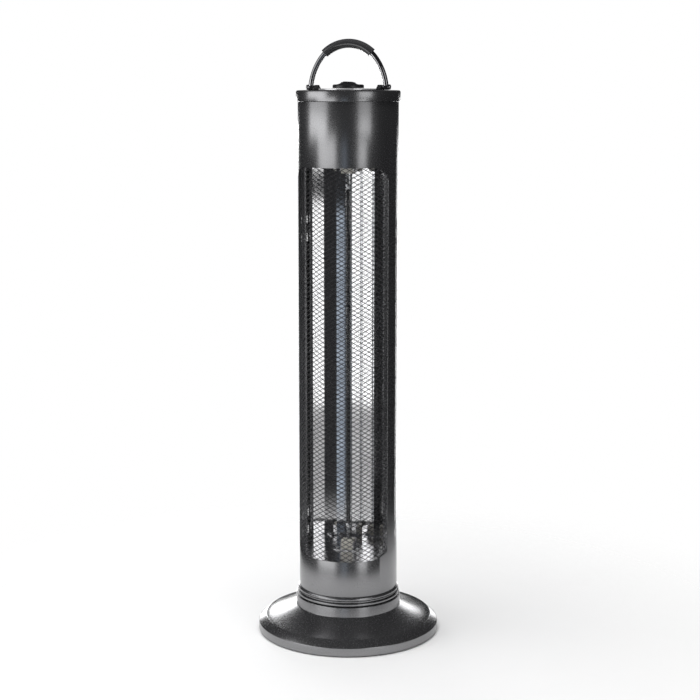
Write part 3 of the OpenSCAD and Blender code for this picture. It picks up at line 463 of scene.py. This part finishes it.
# %% Rubber feet
foot_place = 94
foot_r = high("rubber_feet", "x") - foot_place * math.cos(math.pi / 4)
pads = []
for corner in range(4):
    pad = spun([(0, 0), (foot_r - 1.5, 0), (foot_r, 1), (foot_r, 3.5), (0, 3.5)], closed=False,
               steps=48)
    soften(pad, 0.4, 2)
    pads.append(move(pad, shift(foot_place), turn(45 + 90 * corner, "Z")))
make("foot_pads", joined(*pads), "heater", "black_rubber", "rubber_feet")

# %% [markdown]
# ## Column
#
# The column is sheet steel: cut flat, with the window and the vent slots, then rolled and seamed.
# The same steps work here. The flat sheet is filled from its outlines, sliced into narrow strips
# so that it can bend, rolled by turning distance along the sheet into an angle, and given its
# wall last.

# %% Cut the flat sheet
tube_top = high("housing_tube")
window_low, window_high = low("reflector") + 1.8, high("reflector") - 6
half_window, corner_r = tube_r * math.sin(math.radians(69)), 14
half_girth = math.pi * tube_r


def along(x):
    """Distance along the sheet from the front's middle for a place x across the window."""
    return tube_r * math.asin(x / tube_r)


def outline(bm, points):
    corners = [bm.verts.new((x * MM, 0, z * MM)) for x, z in points]
    return [bm.edges.new(pair) for pair in zip(corners, corners[1:] + corners[:1])]


notch = (arc((half_window - corner_r, window_low + corner_r), corner_r, -90, 0, 12)
         + arc((half_window - corner_r, window_high - corner_r), corner_r, 0, 90, 12))
right_notch = [(half_girth - along(x), z) for x, z in notch]
left_notch = [(-s, z) for s, z in reversed(right_notch)]
sheet = bmesh.new()
cuts = outline(sheet, [(-half_girth, tube_z), (half_girth, tube_z), (half_girth, window_low)]
               + right_notch + [(half_girth, window_high), (half_girth, tube_top),
                                (-half_girth, tube_top), (-half_girth, window_high)]
               + left_notch + [(-half_girth, window_low)])
slot_w, slot_h = 2.6, 11
slot_levels = [window_low + 15, window_low + 37, window_high - 87, window_high - 65]
for column in range(13):
    middle = math.radians(90 - 15 * column) * tube_r
    for level in slot_levels:
        ends = slot_h / 2 - slot_w / 2
        cuts += outline(sheet, arc((middle, level + ends), slot_w / 2, 0, 180, 6)
                        + arc((middle, level - ends), slot_w / 2, 180, 360, 6))
gland_z = (low("cable_gland") + high("cable_gland")) / 2
cuts += outline(sheet, arc((0, gland_z), 6, 0, 345, 23))
bmesh.ops.triangle_fill(sheet, edges=cuts, use_beauty=True, normal=(0, -1, 0))
print("flat sheet:", len(sheet.faces), "faces")

# %% Slice, roll and seam it
for strip in range(-71, 72):
    place = strip * math.tau / 144 * tube_r * MM
    bmesh.ops.bisect_plane(sheet, geom=sheet.verts[:] + sheet.edges[:] + sheet.faces[:],
                           dist=1e-7, plane_co=(place, 0, 0), plane_no=(1, 0, 0))
bmesh.ops.dissolve_limit(sheet, angle_limit=math.radians(1), verts=sheet.verts[:],
                         edges=sheet.edges[:], delimit=set())
for strip in range(-71, 72):
    place = strip * math.tau / 144 * tube_r * MM
    bmesh.ops.bisect_plane(sheet, geom=sheet.verts[:] + sheet.edges[:] + sheet.faces[:],
                           dist=1e-7, plane_co=(place, 0, 0), plane_no=(1, 0, 0))
for v in sheet.verts:
    around = v.co.x / (tube_r * MM)
    v.co = Vector((-math.sin(around), math.cos(around), 0)) * tube_r * MM + Vector((0, 0, v.co.z))
bmesh.ops.remove_doubles(sheet, verts=sheet.verts[:], dist=1e-6)
bmesh.ops.recalc_face_normals(sheet, faces=sheet.faces[:])
outward = sum(f.normal.dot(Vector((f.calc_center_median().x, f.calc_center_median().y, 0)))
              for f in sheet.faces)
if outward < 0:
    bmesh.ops.reverse_faces(sheet, faces=sheet.faces[:])
bmesh.ops.solidify(sheet, geom=sheet.faces[:], thickness=1 * MM)
soften(sheet, 0.2, 2, least=60)
make("column_shell", sheet, "heater", "shell_paint", "housing_tube", smooth=40)

# %% [markdown]
# ## Grille
#
# Expanded metal is slit and stretched, so its holes are diamonds in staggered rows. A square grid
# turned on its corner and squashed gives the diamonds, and the wireframe operator turns every
# edge into a strand. Bending comes first, so that the strands stand square to the curve.

# %% Diamonds, bent, then stranded
grille_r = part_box("mesh_grille")[0].y / -MM - 0.5
diamond_w, diamond_h, strand = 9.4, 5.5, 0.8
mesh_low, mesh_high = low("mesh_grille"), high("mesh_grille")
half_arc = math.radians(74.5)
half_span, tall = half_arc * grille_r, mesh_high - mesh_low
lattice = bmesh.new()
reach = half_span / diamond_w + tall / diamond_h / 2 + 2
count = 2 * math.ceil(reach)
bmesh.ops.create_grid(lattice, x_segments=count, y_segments=count, size=count / 2)
bmesh.ops.rotate(lattice, verts=lattice.verts[:], cent=(0, 0, 0),
                 matrix=Matrix.Rotation(math.radians(45), 3, "Z"))
bmesh.ops.scale(lattice, verts=lattice.verts[:],
                vec=(diamond_w / math.sqrt(2) * MM, diamond_h / math.sqrt(2) * MM, 1))
for place, facing in (((half_span * MM, 0, 0), (1, 0, 0)), ((-half_span * MM, 0, 0), (-1, 0, 0)),
                      ((0, (tall / 2 - 0.5) * MM, 0), (0, 1, 0)),
                      ((0, (0.5 - tall / 2) * MM, 0), (0, -1, 0))):
    bmesh.ops.bisect_plane(lattice, geom=lattice.verts[:] + lattice.edges[:] + lattice.faces[:],
                           dist=1e-7, plane_co=place, plane_no=facing, clear_outer=True)
for v in lattice.verts:
    a = v.co.x / (grille_r * MM)
    v.co = Vector((math.sin(a) * grille_r * MM, -math.cos(a) * grille_r * MM,
                   v.co.y + (mesh_low + mesh_high) / 2 * MM))
bmesh.ops.recalc_face_normals(lattice, faces=lattice.faces[:])
bmesh.ops.wireframe(lattice, faces=lattice.faces[:], thickness=strand * MM, use_replace=True,
                    use_boundary=True, use_even_offset=True)
make("diamond_grille", lattice, "heater", "mesh_steel", "mesh_grille", smooth=30)

# %% [markdown]
# ## Mirror
#
# The reflector is one bright sheet folded lengthways at places that lie on a parabola, so each
# flat facet throws the lamp's light forward at its own angle. Every facet also mirrors a
# different part of the room, which is what paints the tall pale and dark strips behind the
# grille. Its edges turn out into flat flanges that reach the grille.

# %% Folded mirror
mirror_low, mirror_high = low("reflector"), high("reflector")
mirror_t, mirror_back = 0.6, high("reflector", "y") - 0.6
folds, focus = [8, 24, 38, 50], 35


def fold_depth(x):
    return mirror_back - x ** 2 / (4 * focus)


flange_x = math.sqrt((grille_r - 1) ** 2 - fold_depth(folds[-1]) ** 2) - 0.8
front = [(x, fold_depth(x)) for x in folds] + [(flange_x, fold_depth(folds[-1]))]
back = [(x, y + mirror_t) for x, y in reversed(front)]
outline_right = front + back
folded = extruded(outline_right + [(-x, y) for x, y in reversed(outline_right)],
                  mirror_high - mirror_low, 0.12, 1, least=60)
move(folded, shift(0, 0, mirror_low))
make("folded_mirror", folded, "heater", "mirror_sheet", "reflector", smooth=4)

# %% [markdown]
# ## Lamp
#
# A carbon lamp is a quartz tube pinched shut at both ends, a thin woven ribbon held between two
# small springs, and a ceramic block on each end. The tube is turned from an outline with rounded
# shoulders. The springs come from the spin operator too, since it can also climb its axis.

# %% Quartz tube with domed ends
quartz_r, glass = high("quartz_tube", "x"), 0.9
q0, q1 = low("quartz_tube"), high("quartz_tube")
tube = spun([(0, q0)] + arc((quartz_r - 2, q0 + 2), 2, -90, 0, 6)
            + arc((quartz_r - 2, q1 - 2), 2, 0, 90, 6) + [(0, q1)], closed=False, steps=64)
bore = spun([(0, q0 + glass)] + arc((quartz_r - 2, q0 + 2), 2 - glass, -90, 0, 6)
            + arc((quartz_r - 2, q1 - 2), 2 - glass, 0, 90, 6) + [(0, q1 - glass)],
            closed=False, steps=64)
bmesh.ops.recalc_face_normals(bore, faces=bore.faces[:])
bmesh.ops.reverse_faces(bore, faces=bore.faces[:])
glass_tube = joined(tube, bore)


# %% Ribbon, clips, springs and leads
def coil(radius, wire, pitch, turns, z, steps=24):
    """A spring about Z: a ring of wire spun round the axis while it climbs."""
    bm = bmesh.new()
    bmesh.ops.create_circle(bm, segments=8, radius=wire * MM, matrix=Matrix.Translation(
        Vector((radius, 0, z)) * MM) @ turn(90, "X"))
    ring_now = bm.verts[:] + bm.edges[:]
    total = int(turns * steps)
    bmesh.ops.spin(bm, geom=ring_now, cent=(0, 0, 0), axis=(0, 0, 1),
                   dvec=(0, 0, pitch / steps * MM), angle=math.tau * turns, steps=total)
    ends = [e for e in bm.edges if len(e.link_faces) == 1]
    bmesh.ops.holes_fill(bm, edges=ends, sides=8)
    return bm


def rod(radius, z_low, z_high, steps=24):
    return spun([(0, z_low), (radius, z_low), (radius, z_high), (0, z_high)], closed=False,
                steps=steps)


ribbon_low, ribbon_high = q0 + 22, q1 - 22
half_w, half_t = 2.5, 0.25
ribbon = block((-half_w, -half_t, ribbon_low), (half_w, half_t, ribbon_high), 0.1, 2)
make("carbon_ribbon", ribbon, "heater", "carbon", "carbon_element")
fittings = []
for z, side in ((ribbon_low, -1), (ribbon_high, 1)):
    fittings.append(block((-2.9, -0.6, z - 3), (2.9, 0.6, z + 3), 0.25, 2))
    fittings.append(coil(1.7, 0.3, 1.1, 8, min(z + side * 3, z + side * 12)))
    fittings.append(rod(0.8, *sorted((z + side * 12, z + side * 34))))
make("ribbon_fittings", joined(*fittings), "heater", "plated_steel")

# %% Ceramic end blocks
for node in ("lower_end_cap", "upper_end_cap"):
    a, b = (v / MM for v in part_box(node))
    make(node.replace("cap", "block"), block(a, b, 1.2, 4), "heater", "ceramic", node)

quartz_piece = bpy.data.meshes.new("quartz_envelope")
glass_tube.to_mesh(quartz_piece)
glass_tube.free()
quartz_piece.shade_smooth()
quartz_piece.materials.append(FINISHES["quartz"])
envelope = bpy.data.objects.new("quartz_envelope", quartz_piece)
bpy.context.scene.collection.objects.link(envelope)
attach(envelope, "heater")
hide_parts("quartz_tube")
print("quartz envelope:", round(q1 - q0, 1), "mm long")

# %% [markdown]
# ## Cap, dial and knob
#
# The cap is a shallow pressed lid with a rolled edge. On it sits a brushed dial with raised dots
# for off, low and high, and the knob: a round skirt with a finger bar whose foot flares out. The
# bar is one outline pushed along the finger's direction, and its top is rounded by a bevel.

# %% Cap
cap_low, cap_top = low("top_cap"), high("top_cap")
lid = spun([(tube_r + 0.1, cap_low), (cap_r, cap_low), (cap_r, cap_top - 2.2)]
           + arc((cap_r - 2.2, cap_top - 2.2), 2.2, 0, 90, 8)[1:]
           + [(8, cap_top), (8, cap_top - 2), (tube_r + 0.1, cap_top - 2)], steps=256)
soften(lid, 0.4, 3, least=60)
make("cap_shell", lid, "heater", "shell_paint", "top_cap")

# %% Dial with its dots
dial_r, dial_low, dial_top = high("dial_plate", "x"), low("dial_plate"), high("dial_plate")
dial = spun([(6, dial_low), (dial_r, dial_low), (dial_r, dial_top), (6, dial_top)], steps=160)
soften(dial, 0.5, 3, where=lambda p: p.z > (dial_top - 0.1) * MM)
make("brushed_dial", dial, "heater", "dial_metal", "dial_plate")
dots, dots_r = [], 27
for turned, count_here in ((0, 1), (60, 2), (120, 3)):
    for dot in range(count_here):
        spread = (dot - (count_here - 1) / 2) * 8
        mark = rod(0.9 if turned else 1.3, dial_top - 0.2, dial_top + 0.12, 20)
        dots.append(move(mark, shift(0, -dots_r, 0), turn(-turned + spread, "Z")))
make("dial_dots", joined(*dots), "heater", "knob_plastic")

# %% Knob
skirt_r, skirt_low, knob_top = high("knob", "x"), low("knob"), high("knob")
skirt_top, bar_h = skirt_low + 4.2, knob_top - (skirt_low + 4.2)
skirt = spun([(0, skirt_low + 3), (6.4, skirt_low + 3), (6.4, skirt_low),
              (skirt_r - 0.4, skirt_low), (skirt_r, skirt_low + 0.4)]
             + arc((skirt_r - 1.8, skirt_top - 1.8), 1.8, 0, 90, 6) + [(0, skirt_top + 0.15)],
             closed=False, steps=128)
foot_half, bar_half, bar_l = 10.6, 4.2, 15.2
flare = [(bar_half + (foot_half - bar_half) * (1 - t) ** 2.4, bar_h * 0.86 * t - 0.3)
         for t in (i / 8 for i in range(9))]
crest = arc((0, bar_h - bar_half * 0.62), bar_half * 0.62, 12, 168, 8)
crest = [(x * 1.45, z) for x, z in crest]
shape = flare + crest + [(-x, z) for x, z in reversed(flare)]
bar = extruded(shape, 2 * bar_l, 0.9, 3, least=60)
move(bar, shift(0, 0, -bar_l), turn(90, "X"), shift(0, 0, skirt_top))
pointer = block((-0.5, -bar_l + 1.6, knob_top - 0.9), (0.5, -bar_l + 8.6, knob_top - 0.02), 0.2, 2)
make("finger_knob", joined(skirt, bar), "dial_knob", "knob_plastic", "knob")
make("knob_pointer", pointer, "dial_knob", "ivory_plastic")

# %% [markdown]
# ## Handle
#
# The bail is bent wire: two flat arcs for the sides and a rounder one for the crown, with an eye
# at each end. Spinning one circle of wire about each arc's own centre in turn gives the bend that
# a wire bender makes, with no joint between the arcs.

# %% Bail wire
wire_r, crown_arc, crown_z = 3.0, 41.5, high("bail_wire") - 3.0 - 41.5
pivot_z = (low("pivot_screws") + high("pivot_screws")) / 2
side_r = 66.5
side_z = cap_top - 2
side_x = 46.5 - side_r
blend = math.degrees(math.atan2(crown_z - side_z, -side_x))
leg = math.degrees(math.asin((pivot_z - side_z) / side_r))
wire = bmesh.new()
start = Vector((side_x + side_r * math.cos(math.radians(leg)), 0,
                side_z + side_r * math.sin(math.radians(leg))))
bmesh.ops.create_circle(wire, segments=28, radius=wire_r * MM, matrix=Matrix.Translation(start * MM)
                        @ turn(-leg, "Y"))
last = wire.verts[:] + wire.edges[:]
for centre, sweep, steps in (((side_x, 0, side_z), blend - leg, 18),
                             ((0, 0, crown_z), 2 * (90 - blend), 40),
                             ((-side_x, 0, side_z), blend - leg, 18)):
    bent = bmesh.ops.spin(wire, geom=last, cent=Vector(centre) * MM, axis=(0, -1, 0),
                          angle=math.radians(sweep), steps=steps)
    last = bent["geom_last"]
bmesh.ops.holes_fill(wire, edges=[e for e in wire.edges if len(e.link_faces) == 1], sides=28)
bmesh.ops.recalc_face_normals(wire, faces=wire.faces[:])
eyes = []
for side in (-1, 1):
    eye = spun([(1.55, -3.3), (3.3, -3.3), (3.3, 3.3), (1.55, 3.3)], steps=40)
    soften(eye, 0.6, 3)
    eyes.append(move(eye, turn(90, "Y"), shift(side * start.x, 0, pivot_z)))
make("bail", joined(wire, *eyes), "bail", "dark_chrome", "bail_wire")

# %% Grip sleeve with rounded ends
grip_r = high("handle_grip") - crown_z - crown_arc
grip_half = 44
sleeve = bmesh.new()
for radius in (grip_r, wire_r + 0.05):
    bmesh.ops.create_circle(sleeve, segments=40, radius=radius * MM,
                            matrix=Matrix.Translation(Vector((crown_arc, 0, 0)) * MM))
bmesh.ops.bridge_loops(sleeve, edges=sleeve.edges[:])
bmesh.ops.spin(sleeve, geom=sleeve.verts[:] + sleeve.edges[:] + sleeve.faces[:],
               cent=(0, 0, 0), axis=(0, -1, 0), angle=math.radians(2 * grip_half), steps=48)
bmesh.ops.recalc_face_normals(sleeve, faces=sleeve.faces[:])
soften(sleeve, 0.8, 4, least=60)
move(sleeve, turn(-(90 - grip_half), "Y"), shift(0, 0, crown_z))
make("grip_sleeve", sleeve, "bail", "grip_plastic", "handle_grip")

# %% Lugs and pivot screws
for side, name in ((-1, "left"), (1, "right")):
    node = f"{name}_handle_lug"
    a, b = (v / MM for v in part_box(node))
    thick, half_l = b.x - a.x, b.y
    shape = ([(half_l, cap_top), (half_l, cap_top + 2.5)]
             + arc((0, b.z - half_l * 2 / 3), half_l * 2 / 3, 40, 140, 12)
             + [(-half_l, cap_top + 2.5), (-half_l, cap_top)])
    lug = extruded(shape, thick, 0.5, 3, least=50)
    move(lug, turn(90, "X"), turn(90, "Z"), shift(a.x))
    make(f"{name}_lug", lug, "heater", "lug_metal", node)
head_x = high("pivot_screws", "x")
studs = [move(pan_screw(3, 1.8, 1.5, 13.7), turn(90, "Y"), shift(head_x, 0, pivot_z),
              turn(0 if side > 0 else 180, "Z")) for side in (-1, 1)]
make("pivot_studs", joined(*studs), "heater", "plated_steel", "pivot_screws")

# %% [markdown]
# ## Fasteners and the cable entry
#
# Eight pan-head screws hold the foot, the decks and the cap to the column at the back, and the
# mains lead enters through a gland below them. A screw head reads as one because of its rounded
# rim and its cross recess, so both are modelled, and one tool makes all of them.

# %% Screws at the back
cap_h = cap_top - cap_low
heights = [(tube_z + 7, tube_r), (high("lower_deck") - 8.2, tube_r),
           (low("upper_deck") + 8.2, tube_r), (cap_top - cap_h / 2, cap_r)]
for name, picked, node in (("column_fixings", heights[:3], "column_screws"),
                           ("cap_fixings", heights[3:], "cap_screws")):
    screws = [move(pan_screw(2.8, 1.6, 1.5, 5), turn(-90, "X"), shift(0, radius + 1.6, z),
                   turn(side * 35, "Z"))
              for side in (-1, 1) for z, radius in picked]
    make(name, joined(*screws), "heater", "plated_steel", node)

# %% Cable gland
gland_y = tube_r
gland = spun([(3.6, -5.5), (6, -5.5), (6, 0), (8.5, 0), (8.5, 3), (7.2, 3), (7.2, 7.5)]
             + arc((4.2, 7.5), 3, 0, 75, 6) + [(3.6, 10.5)], steps=72)
soften(gland, 0.5, 3, where=lambda p: Vector((p.x, p.y)).length > 7.6 * MM)
ribs = [move(block((6.6, -0.7, 3.2), (7.9, 0.7, 8.2), 0.4, 2), turn(30 * i, "Z"))
        for i in range(12)]
make("lead_gland", move(joined(gland, *ribs), turn(-90, "X"), shift(0, gland_y, gland_z)),
     "heater", "black_rubber", "cable_gland")

# %% [markdown]
# ## Pieces that stay as the frame drew them
#
# The decks, brackets, ballast and switch parts are plain pressings and blocks, so their CAD
# shapes are already exact. They only need their finishes, which come from the slot that the
# record gives each node.

# %% Finishes on the frame's own nodes
for part in frame["record"]["subparts"]:
    node = frame["nodes"][part["node"]]
    node.data.materials.clear()
    node.data.materials.append(FINISHES[part["material_slot"]])
kept = sorted(name for name, node in frame["nodes"].items() if not node.hide_render)
print(len(kept), "nodes stay:", ", ".join(kept))

# %% [markdown]
# ## Floor
#
# A plain pale floor shows where the heater stands. It fades out a little way from the base, so
# that the paper behind it runs on without a line and the metal mirrors the dark room beyond.

# %% Floor
floor_mesh = bmesh.new()
bmesh.ops.create_circle(floor_mesh, cap_ends=True, segments=96, radius=1.2)
floor_data = bpy.data.meshes.new("floor")
floor_mesh.to_mesh(floor_data)
floor_mesh.free()
floor = bpy.data.objects.new("floor", floor_data)
bpy.context.scene.collection.objects.link(floor)
paper_floor = finish("pale_floor", (0.88, 0.88, 0.88), 0.7, clouds=0.005, grain_mm=2, bump_mm=0.01)
fn, fl = paper_floor.node_tree.nodes, paper_floor.node_tree.links
distance, fade = fn.new("ShaderNodeVectorMath"), fn.new("ShaderNodeMapRange")
clear, blend_out = fn.new("ShaderNodeBsdfTransparent"), fn.new("ShaderNodeMixShader")
distance.operation = "LENGTH"
fade.interpolation_type = "SMOOTHSTEP"
solid_to, clear_from = 0.24, 0.62
fade.inputs["From Min"].default_value = solid_to
fade.inputs["From Max"].default_value = clear_from
fl.new(fn["Texture Coordinate"].outputs["Object"], distance.inputs[0])
fl.new(distance.outputs["Value"], fade.inputs["Value"])
fl.new(fade.outputs["Result"], blend_out.inputs["Fac"])
fl.new(fn["Principled BSDF"].outputs[0], blend_out.inputs[1])
fl.new(clear.outputs[0], blend_out.inputs[2])
fl.new(blend_out.outputs[0], fn["Material Output"].inputs["Surface"])
floor_data.materials.append(paper_floor)
print("floor", round(floor.dimensions.x, 2), "m across")

# %% Import json
import json
